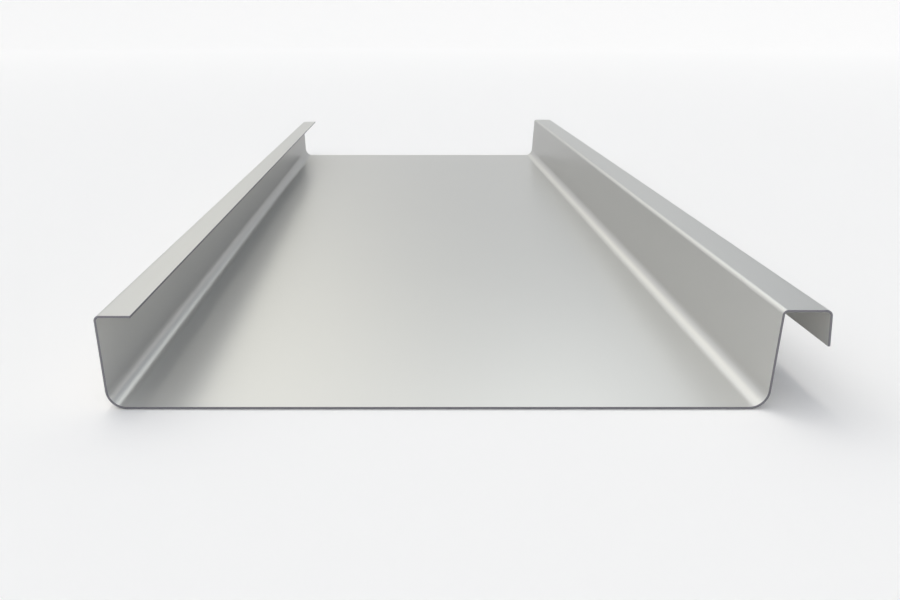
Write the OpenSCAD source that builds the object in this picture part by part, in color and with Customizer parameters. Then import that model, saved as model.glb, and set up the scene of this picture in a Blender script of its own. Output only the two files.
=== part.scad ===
// Standing-seam aluminium cladding panel: one roll-formed sheet with a male and a female edge.
// The section lies in the XZ plane and runs along Y. The origin is the middle of the pan's underside.

/* [Panel] */
// Cover width: from the male leg's outer face to the female leg's, at the seam
cover_w = 260; // [180:1:600]
// Length of the panel along its seams
panel_l = 700; // [300:10:6000]
// Thickness of the sheet
sheet_t = 0.9; // [0.6:0.1:1.5]

/* [Male edge] */
// Rib height: from the pan's underside to the top of the male flange
rib_h = 38; // [25:1:65]
// Width of the male flange: from its leg's outer face to its free edge
male_flange_w = 14; // [9:0.5:20]

/* [Female edge] */
// Gap between a neighbour's male flange and the female flange that laps over it
lap_gap = 1.4; // [0.3:0.1:3]
// Gap between the male flange's free edge and the female lip
edge_gap = 3; // [0.5:0.1:5]
// Depth of the lip: from the top of the female flange to its free edge
lip_d = 14.5; // [8:0.5:22]

/* [Bends] */
// Lean of both legs, out of upright and away from the pan, in degrees
leg_lean = 3; // [0:0.5:12]
// Flare of the lip, out of upright and away from the seam, in degrees
lip_flare = 3; // [0:0.5:12]
// Inner radius of the two bends at the foot of the legs
foot_bend_r = 7; // [1:0.1:10]
// Inner radius of the bends at the top of the legs
leg_bend_r = 1.1; // [0.6:0.1:2.5]
// Inner radius of the bend between the female flange and its lip
lip_bend_r = 1.6; // [0.6:0.1:2.5]

/* [Hidden] */
// Facets of a full turn in a preview
$fn = 96;
// Mill finish, as seen in a preview
mill_finish = [0.78, 0.78, 0.76];
// How far each bend's arcs stand past tangent, so that they cross the flats in a clean edge
tangent_slack = 0.0005;

// Height of the female flange's underside, which clears the neighbour's male flange
female_under_h = rib_h + lap_gap;
// Width of the pan between the sharp corners of its underside
pan_w = cover_w - (rib_h + female_under_h) * tan(leg_lean);
// Width of the female flange's underside between its sharp corners
female_under_w = male_flange_w + edge_gap;
// Drop of the lip from the female flange's underside to its free edge
lip_drop = lip_d - sheet_t;

// Each edge is the path that its underside takes, with sharp corners, from the middle of the pan.
// X runs outwards from the foot of the leg.
pan_half = [[-pan_w / 2, 0], [0, 0]];
male_top = [rib_h * tan(leg_lean), rib_h];
male_path = concat(pan_half, [
    male_top,
    male_top - [male_flange_w, 0]
]);
male_bends = [foot_bend_r, leg_bend_r];

female_top = [female_under_h * tan(leg_lean), female_under_h];
lip_top = female_top + [female_under_w, 0];
female_path = concat(pan_half, [
    female_top,
    lip_top,
    lip_top + lip_drop * [tan(lip_flare), -1]
]);
female_bends = [foot_bend_r, leg_bend_r, lip_bend_r];

function unit(v) = v / norm(v);

// The direction square to a flat of the path, on the side that the sheet lies
function across(path, i) = let (d = unit(path[i + 1] - path[i])) [-d[1], d[0]];

// Where two lines meet, each at unit distance along one of two unit vectors square to them
function meeting(a, b) = (a + b) / (1 + a * b);

// The other face of the sheet, corner for corner
function top_path(path) = let (last = len(path) - 1) [
    path[0] + sheet_t * across(path, 0),
    for (i = [1:last - 1]) path[i] + sheet_t * meeting(across(path, i - 1), across(path, i)),
    path[last] + sheet_t * across(path, last - 1)
];

// What lies between a corner's flats and its arc, out to the distance reach from the arc's centre.
// a and b point from the centre squarely to each flat, with b anticlockwise of a.
module corner(centre, a, b, r, reach) {
    translate(centre) difference() {
        polygon([[0, 0], reach * a, reach * meeting(a, b), reach * b]);
        circle(r + tangent_slack);
    }
}

// Rounds a bend: the corner on one of its faces, between the sheet's middle and its outer face
module bend(path, i, inner_r, outside) {
    before = across(path, i - 1);
    after = across(path, i);
    // 1 where the sheet folds towards its top face, -1 where it folds away from it
    side = sign(before[0] * after[1] - before[1] * after[0]);
    underside_r = side > 0 ? inner_r + sheet_t : inner_r;
    centre = path[i] + side * underside_r * meeting(before, after);
    r = outside ? inner_r + sheet_t : inner_r;
    a = side > 0 ? -before : after;
    b = side > 0 ? -after : before;
    corner(centre, a, b, r, r + sheet_t / 2);
}

// The sheet's section along one edge: square corners, filled on their inside and cut on their outside
module section(path, bends) {
    top = top_path(path);
    last = len(path) - 1;
    difference() {
        union() {
            polygon(concat(path, [for (i = [last:-1:0]) top[i]]));
            for (i = [1:len(bends)]) bend(path, i, bends[i - 1], false);
        }
        for (i = [1:len(bends)]) bend(path, i, bends[i - 1], true);
    }
}

module cladding_panel() {
    foot = [pan_w / 2, 0];
    color(mill_finish)
        rotate([90, 0, 0])
            linear_extrude(height = panel_l, center = true) {
                translate(foot) section(female_path, female_bends);
                mirror([1, 0]) translate(foot) section(male_path, male_bends);
            }
}

cladding_panel();
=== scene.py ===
"""Dresses the standing-seam cladding panel and sets it on a plain floor in soft light.

The panel is one roll-formed sheet. Its CAD solid gives the place and the length, and
the sheet is swept here once more with round bends, eased edges and a satin finish.
"""

import logging
import math
from dataclasses import dataclass, field
from enum import Enum
from typing import Any

import bpy
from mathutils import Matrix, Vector


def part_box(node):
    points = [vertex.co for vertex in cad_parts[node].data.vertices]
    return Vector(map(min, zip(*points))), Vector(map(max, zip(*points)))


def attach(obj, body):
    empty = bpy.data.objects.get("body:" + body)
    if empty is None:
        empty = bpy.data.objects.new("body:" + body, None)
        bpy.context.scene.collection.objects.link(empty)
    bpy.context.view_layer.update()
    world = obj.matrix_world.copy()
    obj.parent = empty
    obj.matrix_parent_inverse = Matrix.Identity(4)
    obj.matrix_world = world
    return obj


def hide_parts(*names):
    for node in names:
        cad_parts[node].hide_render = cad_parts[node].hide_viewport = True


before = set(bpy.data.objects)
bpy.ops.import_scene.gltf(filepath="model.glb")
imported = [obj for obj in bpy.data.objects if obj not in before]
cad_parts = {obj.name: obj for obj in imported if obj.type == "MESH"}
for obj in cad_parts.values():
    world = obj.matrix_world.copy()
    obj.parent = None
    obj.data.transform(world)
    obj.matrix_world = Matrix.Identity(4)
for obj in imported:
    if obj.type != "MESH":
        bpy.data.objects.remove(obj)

LOG = logging.getLogger("cladding_panel")
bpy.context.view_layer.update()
NODE = "cladding_panel"
BODY = "root"
MM = 0.001

# A noise texture's average, and the Mix node's sockets when it mixes colours.
NOISE_MIDDLE = 0.5
MIX_SHARE, MIX_FROM, MIX_TO, MIX_RESULT = 0, 6, 7, 2

Colour = tuple[float, float, float]


class Surface(Enum):
    """Which finish a face of the sheet takes."""

    SHEET = 0
    SHEARED = 1


# ------------------------------------------------------------------- shader maths


class Sock:
    """A shader socket that takes part in plain arithmetic."""

    def __init__(self, graph: "Graph", socket: bpy.types.NodeSocket) -> None:
        """Keeps the socket and the graph that new nodes go into.

        Args:
            graph: The node graph that owns the socket.
            socket: The output socket to wrap.
        """
        self.graph = graph
        self.socket = socket

    def _math(self, operation: str, *values: Any) -> "Sock":
        """Adds one Math node.

        Args:
            operation: The Math node's operation.
            values: Numbers or sockets for its inputs, in order.

        Returns:
            The node's result.
        """
        return self.graph.add(
            "ShaderNodeMath", {"operation": operation}, dict(enumerate(values))
        )

    def __add__(self, other: Any) -> "Sock":
        """self + other."""
        return self._math("ADD", self, other)

    def __radd__(self, other: Any) -> "Sock":
        """other + self."""
        return self._math("ADD", other, self)

    def __sub__(self, other: Any) -> "Sock":
        """self - other."""
        return self._math("SUBTRACT", self, other)

    def __rsub__(self, other: Any) -> "Sock":
        """other - self."""
        return self._math("SUBTRACT", other, self)

    def __mul__(self, other: Any) -> "Sock":
        """self * other."""
        return self._math("MULTIPLY", self, other)

    def __rmul__(self, other: Any) -> "Sock":
        """other * self."""
        return self._math("MULTIPLY", other, self)

    def __pow__(self, other: Any) -> "Sock":
        """self ** other."""
        return self._math("POWER", self, other)

    def __rpow__(self, other: Any) -> "Sock":
        """other ** self."""
        return self._math("POWER", other, self)

    def highest(self, other: Any) -> "Sock":
        """The larger of self and other."""
        return self._math("MAXIMUM", self, other)

    def dot(self, way: tuple[float, float, float]) -> "Sock":
        """How far self, a vector, points along another.

        Args:
            way: The other vector.

        Returns:
            Their dot product.
        """
        return self.graph.add(
            "ShaderNodeVectorMath",
            {"operation": "DOT_PRODUCT"},
            {0: self, 1: way},
            "Value",
        )

    def scaled(self, colour: Colour) -> "Sock":
        """Makes a colour as strong as self, a number, says.

        Args:
            colour: The colour at full strength.

        Returns:
            The colour times self.
        """
        return self.graph.add(
            "ShaderNodeVectorMath", {"operation": "SCALE"}, {0: colour, "Scale": self}
        )

    def plus(self, other: "Sock") -> "Sock":
        """Adds another colour to self, a colour.

        Args:
            other: The other colour.

        Returns:
            Their sum.
        """
        return self.graph.add(
            "ShaderNodeVectorMath", {"operation": "ADD"}, {0: self, 1: other}
        )

    def clamped(self) -> "Sock":
        """self, held between 0 and 1."""
        return self.graph.add("ShaderNodeClamp", {}, {"Value": self})


class Graph:
    """The node tree of one material or of the world."""

    def __init__(self, tree: bpy.types.NodeTree) -> None:
        """Empties the tree.

        Args:
            tree: The node tree to build in.
        """
        self.tree = tree
        self.tree.nodes.clear()

    def add(
        self,
        kind: str,
        settings: dict[str, Any],
        values: dict[Any, Any],
        output: Any = 0,
    ) -> Sock:
        """Adds one node.

        Args:
            kind: The node's type name.
            settings: The node's own properties, set before its sockets.
            values: A value or a Sock for each input, by name or number.
            output: The output to hand back, by name or number.

        Returns:
            That output.
        """
        node = self.tree.nodes.new(kind)
        for name, value in settings.items():
            setattr(node, name, value)
        for key, value in values.items():
            if isinstance(value, Sock):
                self.tree.links.new(value.socket, node.inputs[key])
            else:
                node.inputs[key].default_value = value
        if not node.outputs:
            return Sock(self, node.inputs[0])
        return Sock(self, node.outputs[output])


# ----------------------------------------------------------------------- finishes


@dataclass(frozen=True)
class SatinSheet:
    """Mill-finish aluminium: a soft sheen with a faint grain along the length."""

    name: str = "satin_aluminium"
    colour: Colour = (0.705, 0.698, 0.672)
    tint_spread: float = 0.015
    cloud_in_tint: float = 0.5
    grain_in_tint: float = 0.5
    metal_share: float = 0.5
    grazing: float = 0.32
    specular: float = 0.4
    roughness: float = 0.29
    rough_by_grain: float = 0.03
    rough_by_cloud: float = 0.02
    grain_scale: float = 3600.0
    grain_stretch: float = 0.012
    grain_detail: float = 3.0
    grain_break: float = 0.6
    grain_depth: float = 0.1
    grain_height: float = 0.00001
    cloud_scale: float = 9.0
    cloud_detail: float = 2.0

    def make(self) -> bpy.types.Material:
        """Builds the material.

        Returns:
            The new material.
        """
        material = bpy.data.materials.new(self.name)
        material.use_nodes = True
        g = Graph(material.node_tree)
        place = g.add("ShaderNodeTexCoord", {}, {}, "Object")
        drawn_out = g.add(
            "ShaderNodeMapping",
            {},
            {"Vector": place, "Scale": (1.0, self.grain_stretch, 1.0)},
        )
        grain = g.add(
            "ShaderNodeTexNoise",
            {},
            {
                "Vector": drawn_out,
                "Scale": self.grain_scale,
                "Detail": self.grain_detail,
                "Roughness": self.grain_break,
            },
        )
        cloud = g.add(
            "ShaderNodeTexNoise",
            {},
            {"Vector": place, "Scale": self.cloud_scale, "Detail": self.cloud_detail},
        )
        rough = self.roughness + (grain - NOISE_MIDDLE) * self.rough_by_grain
        rough = rough + (cloud - NOISE_MIDDLE) * self.rough_by_cloud
        mottle = cloud * self.cloud_in_tint + grain * self.grain_in_tint
        tint = g.add(
            "ShaderNodeMix",
            {"data_type": "RGBA"},
            {
                MIX_SHARE: mottle.clamped(),
                MIX_FROM: (*[c * (1 - self.tint_spread) for c in self.colour], 1.0),
                MIX_TO: (*[c * (1 + self.tint_spread) for c in self.colour], 1.0),
            },
            MIX_RESULT,
        )
        bump = g.add(
            "ShaderNodeBump",
            {},
            {
                "Strength": self.grain_depth,
                "Distance": self.grain_height,
                "Height": grain,
            },
        )
        shader = g.add(
            "ShaderNodeBsdfPrincipled",
            {},
            {
                "Base Color": tint,
                "Metallic": self.metal_share,
                "Specular IOR Level": self.specular,
                "Specular Tint": (self.grazing, self.grazing, self.grazing, 1.0),
                "Roughness": rough,
                "Normal": bump,
            },
        )
        g.add("ShaderNodeOutputMaterial", {}, {"Surface": shader})
        return material


@dataclass(frozen=True)
class ShearedEdge:
    """Bare metal where the sheet was sheared or slit, duller than its faces."""

    name: str = "sheared_aluminium"
    colour: Colour = (0.24, 0.235, 0.255)
    tint_spread: float = 0.15
    roughness: float = 0.5
    rough_spread: float = 0.2
    mark_scale: float = 1800.0
    mark_detail: float = 3.0
    mark_break: float = 0.65

    def make(self) -> bpy.types.Material:
        """Builds the material.

        Returns:
            The new material.
        """
        material = bpy.data.materials.new(self.name)
        material.use_nodes = True
        g = Graph(material.node_tree)
        place = g.add("ShaderNodeTexCoord", {}, {}, "Object")
        marks = g.add(
            "ShaderNodeTexNoise",
            {},
            {
                "Vector": place,
                "Scale": self.mark_scale,
                "Detail": self.mark_detail,
                "Roughness": self.mark_break,
            },
        )
        tint = g.add(
            "ShaderNodeMix",
            {"data_type": "RGBA"},
            {
                MIX_SHARE: marks,
                MIX_FROM: (*[c * (1 - self.tint_spread) for c in self.colour], 1.0),
                MIX_TO: (*[c * (1 + self.tint_spread) for c in self.colour], 1.0),
            },
            MIX_RESULT,
        )
        rough = self.roughness + (marks - NOISE_MIDDLE) * self.rough_spread
        shader = g.add(
            "ShaderNodeBsdfPrincipled",
            {},
            {"Base Color": tint, "Metallic": 1.0, "Roughness": rough},
        )
        g.add("ShaderNodeOutputMaterial", {}, {"Surface": shader})
        return material


@dataclass(frozen=True)
class PaleBoard:
    """Matt white board for the floor, shown whiter still towards the cove."""

    name: str = "pale_board"
    colour: Colour = (0.965, 0.945, 0.925)
    white_share: float = 0.75
    matt_within: float = 0.7
    white_beyond: float = 4.5

    def make(self) -> bpy.types.Material:
        """Builds the material, near white to whatever sees the cove.

        Returns:
            The new material.
        """
        material = bpy.data.materials.new(self.name)
        material.use_nodes = True
        g = Graph(material.node_tree)
        matt = g.add(
            "ShaderNodeBsdfDiffuse", {}, {"Color": (*self.colour, 1.0)}, "BSDF"
        )
        white = g.add(
            "ShaderNodeEmission", {}, {"Color": (1.0, 1.0, 1.0, 1.0), "Strength": 1.0}
        )
        seen = g.add("ShaderNodeLightPath", {}, {}, "Is Camera Ray")
        glossy = g.add("ShaderNodeLightPath", {}, {}, "Is Glossy Ray")
        through = g.add("ShaderNodeLightPath", {}, {}, "Is Transmission Ray")
        place = g.add("ShaderNodeTexCoord", {}, {}, "Object")
        radius = g.add(
            "ShaderNodeVectorMath", {"operation": "LENGTH"}, {0: place}, "Value"
        )
        far = (radius - self.matt_within) * (1 / (self.white_beyond - self.matt_within))
        share = seen.highest(glossy).highest(through) * far.clamped() * self.white_share
        mix = g.add("ShaderNodeMixShader", {}, {0: share, 1: matt, 2: white})
        g.add("ShaderNodeOutputMaterial", {}, {"Surface": mix})
        return material


# ---------------------------------------------------------------------- the panel


@dataclass
class Sample:
    """One station along the section, with both faces of the sheet."""

    under: Vector
    top: Vector
    under_normal: Vector
    top_normal: Vector
    surface: Surface


def turned(way: Vector, angle: float) -> Vector:
    """Turns a direction in the plane of the section.

    Args:
        way: The direction.
        angle: How far to turn it, in radians, from X towards Z.

    Returns:
        The turned direction.
    """
    c, s = math.cos(angle), math.sin(angle)
    return Vector((way.x * c - way.y * s, way.x * s + way.y * c))


def turn_between(a: Vector, b: Vector) -> float:
    """Measures the turn from one direction to the next.

    Args:
        a: The direction before the bend.
        b: The direction after it.

    Returns:
        The turn in radians, above zero from X towards Z.
    """
    return math.atan2(a.x * b.y - a.y * b.x, a.dot(b))


@dataclass
class Section:
    """The roll-formed section, as the path of the sheet's underside.

    Lengths are in millimetres, and the leans, the flare and the facets in degrees.
    """

    cover_w: float = 260.0
    sheet_t: float = 0.9
    rib_h: float = 38.0
    male_flange_w: float = 14.0
    lap_gap: float = 1.4
    edge_gap: float = 3.0
    lip_d: float = 14.5
    leg_lean: float = 3.0
    lip_flare: float = 3.0
    foot_bend_r: float = 7.0
    leg_bend_r: float = 1.1
    lip_bend_r: float = 1.6
    eased_r: float = 0.12
    eased_steps: int = 4
    facet_deg: float = 4.0
    least_facets: int = 3
    flat_step: float = 12.0

    def corners(self) -> list[Vector]:
        """Lays out the sharp corners of the underside.

        Returns:
            Points in X and Z, from the male flange's free edge to the lip's.
        """
        lean = math.tan(math.radians(self.leg_lean))
        flare = math.tan(math.radians(self.lip_flare))
        seat_h = self.rib_h + self.lap_gap
        half = self.cover_w / 2 - (self.rib_h + seat_h) * lean / 2
        male_top = -half - self.rib_h * lean
        female_top = half + seat_h * lean
        lip_top = female_top + self.male_flange_w + self.edge_gap
        drop = self.lip_d - self.sheet_t
        return [
            Vector((male_top + self.male_flange_w, self.rib_h)),
            Vector((male_top, self.rib_h)),
            Vector((-half, 0.0)),
            Vector((half, 0.0)),
            Vector((female_top, seat_h)),
            Vector((lip_top, seat_h)),
            Vector((lip_top + drop * flare, seat_h - drop)),
        ]

    def bend_radii(self) -> list[float]:
        """Lists the inner radius of each bend.

        Returns:
            One radius for each of corners() but the first and the last, in order.
        """
        return [
            self.leg_bend_r,
            self.foot_bend_r,
            self.foot_bend_r,
            self.leg_bend_r,
            self.lip_bend_r,
        ]

    def _eased_end(
        self, end: Vector, along: Vector, n: Vector, first: bool
    ) -> list[Sample]:
        """Rounds over one slit edge.

        Args:
            end: The underside's corner at the free edge.
            along: The direction of the path there.
            n: The direction from the underside to the top face.
            first: Whether the path starts at this edge.

        Returns:
            Samples in path order.
        """
        out = -along if first else along
        samples = []
        for k in range(self.eased_steps + 1):
            a = math.pi / 2 * k / self.eased_steps
            inset = self.eased_r * (1 - math.cos(a))
            reach = out * (self.eased_r * (math.sin(a) - 1))
            samples.append(
                Sample(
                    end + reach + n * inset,
                    end + reach + n * (self.sheet_t - inset),
                    (-n * math.cos(a) + out * math.sin(a)).normalized(),
                    (n * math.cos(a) + out * math.sin(a)).normalized(),
                    Surface.SHEARED,
                )
            )
        return samples[::-1] if first else samples

    def _flat(self, start: Vector, stop: Vector, n: Vector) -> list[Sample]:
        """Divides one flat into even steps.

        Args:
            start: Where the underside of the flat starts.
            stop: Where it stops.
            n: The direction from the underside to the top face.

        Returns:
            Samples after the start, up to the stop.
        """
        pieces = max(1, round((stop - start).length / self.flat_step))
        places = [start.lerp(stop, k / pieces) for k in range(1, pieces + 1)]
        return [Sample(p, p + n * self.sheet_t, -n, n, Surface.SHEET) for p in places]

    def _bend(
        self, start: Vector, n: Vector, turn: float, under_r: float
    ) -> list[Sample]:
        """Takes the sheet round one bend, both faces about one centre.

        Args:
            start: Where the underside of the bend starts.
            n: The direction from the underside to the top face there.
            turn: How far the sheet turns, in radians.
            under_r: The underside's radius.

        Returns:
            Samples after the start, up to the end of the bend.
        """
        side = math.copysign(1.0, turn)
        centre = start + n * (side * under_r)
        count = max(self.least_facets, round(math.degrees(abs(turn)) / self.facet_deg))
        samples = []
        for k in range(1, count + 1):
            m = turned(n, turn * k / count)
            under = centre - m * (side * under_r)
            top = under + m * self.sheet_t
            samples.append(Sample(under, top, -m, m, Surface.SHEET))
        return samples

    def samples(self) -> list[Sample]:
        """Walks the section from one free edge to the other.

        Returns:
            Stations with both faces of the sheet, at one thickness all the way.
        """
        points = self.corners()
        ways = [(b - a).normalized() for a, b in zip(points, points[1:])]
        sides = [Vector((-way.y, way.x)) for way in ways]
        out = self._eased_end(points[0], ways[0], sides[0], True)
        start = points[0] + ways[0] * self.eased_r
        for i, inner_r in enumerate(self.bend_radii()):
            turn = turn_between(ways[i], ways[i + 1])
            under_r = inner_r + self.sheet_t if turn > 0 else inner_r
            stop = points[i + 1] - ways[i] * (under_r * math.tan(abs(turn) / 2))
            out += self._flat(start, stop, sides[i])
            out += self._bend(stop, sides[i], turn, under_r)
            start = out[-1].under
        stop = points[-1] - ways[-1] * self.eased_r
        out += self._flat(start, stop, sides[-1])[:-1]
        return out + self._eased_end(points[-1], ways[-1], sides[-1], False)


@dataclass
class Skin:
    """The faces of the sheet as they are made, with the normal at each corner."""

    faces: list[list[int]] = field(default_factory=list)
    finishes: list[Surface] = field(default_factory=list)
    normals: list[Vector] = field(default_factory=list)

    def add(self, face: list[int], finish: Surface, normals: list[Vector]) -> None:
        """Adds one face.

        Args:
            face: Its corners, anticlockwise from outside.
            finish: What it is finished in.
            normals: The normal at each of its corners.
        """
        self.faces.append(face)
        self.finishes.append(finish)
        self.normals += normals


@dataclass
class CladdingPanel:
    """The whole panel: the section swept along its length, with eased cut ends.

    The cut ends are eased by cut_r, in millimetres.
    """

    section: Section = field(default_factory=Section)
    cut_r: float = 0.10
    cut_steps: int = 3
    rows: int = 28

    def _stations(self) -> list[tuple[float, float, float]]:
        """Lists the rows of the sweep.

        Returns:
            Y in metres, inset in millimetres and the normal's tilt in radians, by row.
        """
        low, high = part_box(NODE)
        r = self.cut_r * MM
        start = []
        for k in range(self.cut_steps, -1, -1):
            a = math.pi / 2 * k / self.cut_steps
            y = low.y + r - r * math.sin(a)
            start.append((y, self.cut_r * (1 - math.cos(a)), -a))
        stop = [
            (low.y + high.y - y, inset, -tilt) for y, inset, tilt in reversed(start)
        ]
        span = high.y - low.y - 2 * r
        inner = [
            (low.y + r + span * k / self.rows, 0.0, 0.0) for k in range(1, self.rows)
        ]
        return start + inner + stop

    def _cap(self, skin: Skin, base: int, half: int, way: float) -> None:
        """Closes one cut end.

        Args:
            skin: The faces so far.
            base: The index of the end row's first point.
            half: How many stations the section has.
            way: 1 at the far end, -1 at the near end.
        """
        last = base + 2 * half - 1
        for i in range(half - 1):
            face = [base + i, base + i + 1, last - 1 - i, last - i]
            if way > 0:
                face.reverse()
            skin.add(face, Surface.SHEARED, [Vector((0.0, way, 0.0))] * 4)

    def build(self) -> bpy.types.Object:
        """Sweeps the section into one closed mesh with its true normals.

        Returns:
            The panel's object.
        """
        walk = self.section.samples()
        loop = [(s.under, s.under_normal, s.surface) for s in walk]
        loop += [(s.top, s.top_normal, s.surface) for s in reversed(walk)]
        stations = self._stations()
        wide = len(loop)
        verts: list[Vector] = []
        normals: list[Vector] = []
        for y, inset, tilt in stations:
            c, s = math.cos(tilt), math.sin(tilt)
            for p, n, _ in loop:
                q = (p - n * inset) * MM
                verts.append(Vector((q.x, y, q.y)))
                normals.append(Vector((n.x * c, s, n.y * c)).normalized())
        skin = Skin()
        for row in range(len(stations) - 1):
            ending = stations[row][2] != 0.0 or stations[row + 1][2] != 0.0
            for i in range(wide):
                j = (i + 1) % wide
                a, b = row * wide + i, row * wide + j
                face = [a + wide, b + wide, b, a]
                slit = loop[i][2] is Surface.SHEARED and loop[j][2] is Surface.SHEARED
                finish = Surface.SHEARED if ending or slit else Surface.SHEET
                skin.add(face, finish, [normals[v] for v in face])
        self._cap(skin, 0, len(walk), -1.0)
        self._cap(skin, (len(stations) - 1) * wide, len(walk), 1.0)
        mesh = bpy.data.meshes.new("cladding_sheet")
        mesh.from_pydata(verts, [], skin.faces)
        mesh.polygons.foreach_set("material_index", [f.value for f in skin.finishes])
        mesh.polygons.foreach_set("use_smooth", [True] * len(skin.faces))
        mesh.update()
        mesh.normals_split_custom_set([tuple(n) for n in skin.normals])
        panel = bpy.data.objects.new("cladding_sheet", mesh)
        bpy.context.scene.collection.objects.link(panel)
        return panel

    def dress(self, panel: bpy.types.Object) -> None:
        """Gives the sheet its finishes and ties it to the frame.

        Args:
            panel: The object that build() returned.
        """
        for finish in (SatinSheet(), ShearedEdge()):
            panel.data.materials.append(finish.make())
        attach(panel, BODY)
        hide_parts(NODE)


# --------------------------------------------------------------------- the studio


@dataclass(frozen=True)
class Glow:
    """One soft bright patch of the surround, fading evenly from its middle.

    Azimuth is 0 beyond the panel's far end and grows towards the right.
    """

    name: str
    azimuth_deg: float
    elevation_deg: float
    strength: float
    tightness: float
    colour: Colour

    def level(self, way: Sock) -> Sock:
        """How bright it is in each direction.

        Args:
            way: The direction looked in.

        Returns:
            Its brightness there.
        """
        turn, rise = math.radians(self.azimuth_deg), math.radians(self.elevation_deg)
        middle = (
            math.sin(turn) * math.cos(rise),
            math.cos(turn) * math.cos(rise),
            math.sin(rise),
        )
        return way.dot(middle).highest(0.0) ** self.tightness * self.strength


@dataclass(frozen=True)
class Strip:
    """One long narrow soft light overhead, in line with the panel, leaning left."""

    name: str
    lean_deg: float
    strength: float
    tightness: float
    shortness: float
    colour: Colour

    def level(self, way: Sock) -> Sock:
        """How bright it is in each direction.

        Args:
            way: The direction looked in.

        Returns:
            Its brightness there.
        """
        lean = math.radians(self.lean_deg)
        aside = way.dot((math.cos(lean), 0.0, math.sin(lean)))
        above = way.dot((-math.sin(lean), 0.0, math.cos(lean))).highest(0.0)
        narrow = (1 - aside * aside) ** self.tightness
        return narrow * above**self.shortness * self.strength


@dataclass
class Studio:
    """A pale round floor with a low cove, under a softly graded surround."""

    flat_r: float = 5.0
    cove_r: float = 0.8
    cove_steps: int = 16
    wall_h: float = 1.3
    around: int = 96
    floor_drop: float = 0.0002
    surround: Colour = (0.27, 0.298, 0.345)
    # A Strip's lean, strength, tightness, shortness and colour, then each Glow's
    # azimuth, elevation, strength, tightness and colour.
    glows: tuple[Glow | Strip, ...] = (
        Strip("overhead", 4.8, 6.3, 480.0, 5.0, (1.0, 0.985, 0.93)),
        Glow("far_left_top", -31.0, 46.0, 1.9, 12.0, (1.0, 0.99, 0.94)),
        Glow("far_right", 12.0, 29.0, 1.8, 70.0, (0.98, 1.0, 0.97)),
        Glow("low_left", -10.0, 16.0, 1.4, 60.0, (1.0, 0.96, 0.80)),
        Glow("low_right", 24.0, 16.0, 0.15, 70.0, (1.0, 1.0, 1.0)),
        Glow("left", -90.0, 50.0, 0.6, 8.0, (1.0, 0.99, 0.97)),
        Glow("behind", 180.0, 50.0, 0.8, 8.0, (0.95, 0.97, 1.0)),
        Glow("behind_low", 180.0, 25.0, 0.5, 8.0, (1.0, 1.0, 1.0)),
    )

    def build_floor(self) -> bpy.types.Object:
        """Lays the floor and its cove as one smooth round sheet.

        Returns:
            The floor's object.
        """
        rim = [(self.flat_r, 0.0)]
        for k in range(1, self.cove_steps + 1):
            a = math.pi / 2 * k / self.cove_steps
            r = self.flat_r + self.cove_r * math.sin(a)
            rim.append((r, self.cove_r * (1 - math.cos(a))))
        rim.append((self.flat_r + self.cove_r, self.wall_h))
        around = self.around
        verts = [(0.0, 0.0, -self.floor_drop)]
        for r, z in rim:
            for k in range(around):
                a = math.tau * k / around
                verts.append((r * math.sin(a), r * math.cos(a), z - self.floor_drop))
        faces = [(0, 1 + (k + 1) % around, 1 + k) for k in range(around)]
        for ring in range(len(rim) - 1):
            low, high = 1 + ring * around, 1 + (ring + 1) * around
            for k in range(around):
                n = (k + 1) % around
                faces.append((low + k, low + n, high + n, high + k))
        mesh = bpy.data.meshes.new("floor")
        mesh.from_pydata(verts, [], faces)
        mesh.polygons.foreach_set("use_smooth", [True] * len(faces))
        mesh.materials.append(PaleBoard().make())
        floor = bpy.data.objects.new("floor", mesh)
        bpy.context.scene.collection.objects.link(floor)
        return floor

    def build_world(self) -> None:
        """Grades the surround: one even level with the glows added."""
        world = bpy.data.worlds.new("surround")
        bpy.context.scene.world = world
        world.use_nodes = True
        g = Graph(world.node_tree)
        way = g.add("ShaderNodeTexCoord", {}, {}, "Generated")
        colour = g.add("ShaderNodeVectorMath", {"operation": "ADD"}, {0: self.surround})
        for glow in self.glows:
            colour = colour.plus(glow.level(way).scaled(glow.colour))
            LOG.info("light %s set", glow.name)
        light = g.add("ShaderNodeBackground", {}, {"Color": colour})
        g.add("ShaderNodeOutputWorld", {}, {"Surface": light})

    def build(self) -> None:
        """Builds the floor and the surround."""
        floor = self.build_floor()
        LOG.info("%s built", floor.name)
        self.build_world()


@dataclass(frozen=True)
class ViewCamera:
    """The camera, just off the near end, a little left, looking down along the pan."""

    place: tuple[float, float, float] = (-0.0112, -0.6712, 0.1429)
    pitch_deg: float = 17.07
    lens: float = 36.0
    sensor: float = 36.0
    shift_x: float = 0.0456
    nearest: float = 0.01

    def build(self) -> bpy.types.Object:
        """Sets the camera up as the scene's own.

        Returns:
            The camera's object.
        """
        data = bpy.data.cameras.new("view")
        data.sensor_width = self.sensor
        data.lens = self.lens
        data.shift_x = self.shift_x
        data.clip_start = self.nearest
        camera = bpy.data.objects.new("view", data)
        camera.location = self.place
        camera.rotation_euler = (math.radians(90.0 - self.pitch_deg), 0.0, 0.0)
        bpy.context.scene.collection.objects.link(camera)
        bpy.context.scene.camera = camera
        return camera


def main() -> None:
    """Builds the camera, the studio and the panel, in that order."""
    logging.basicConfig(level=logging.INFO, format="%(name)s: %(message)s")
    bpy.context.scene.view_settings.view_transform = "Standard"
    camera = ViewCamera().build()
    LOG.info("%s set", camera.name)
    Studio().build()
    panel = CladdingPanel()
    sheet = panel.build()
    panel.dress(sheet)
    LOG.info("%s built with %d faces", sheet.name, len(sheet.data.polygons))


if __name__ == "__main__":
    main()
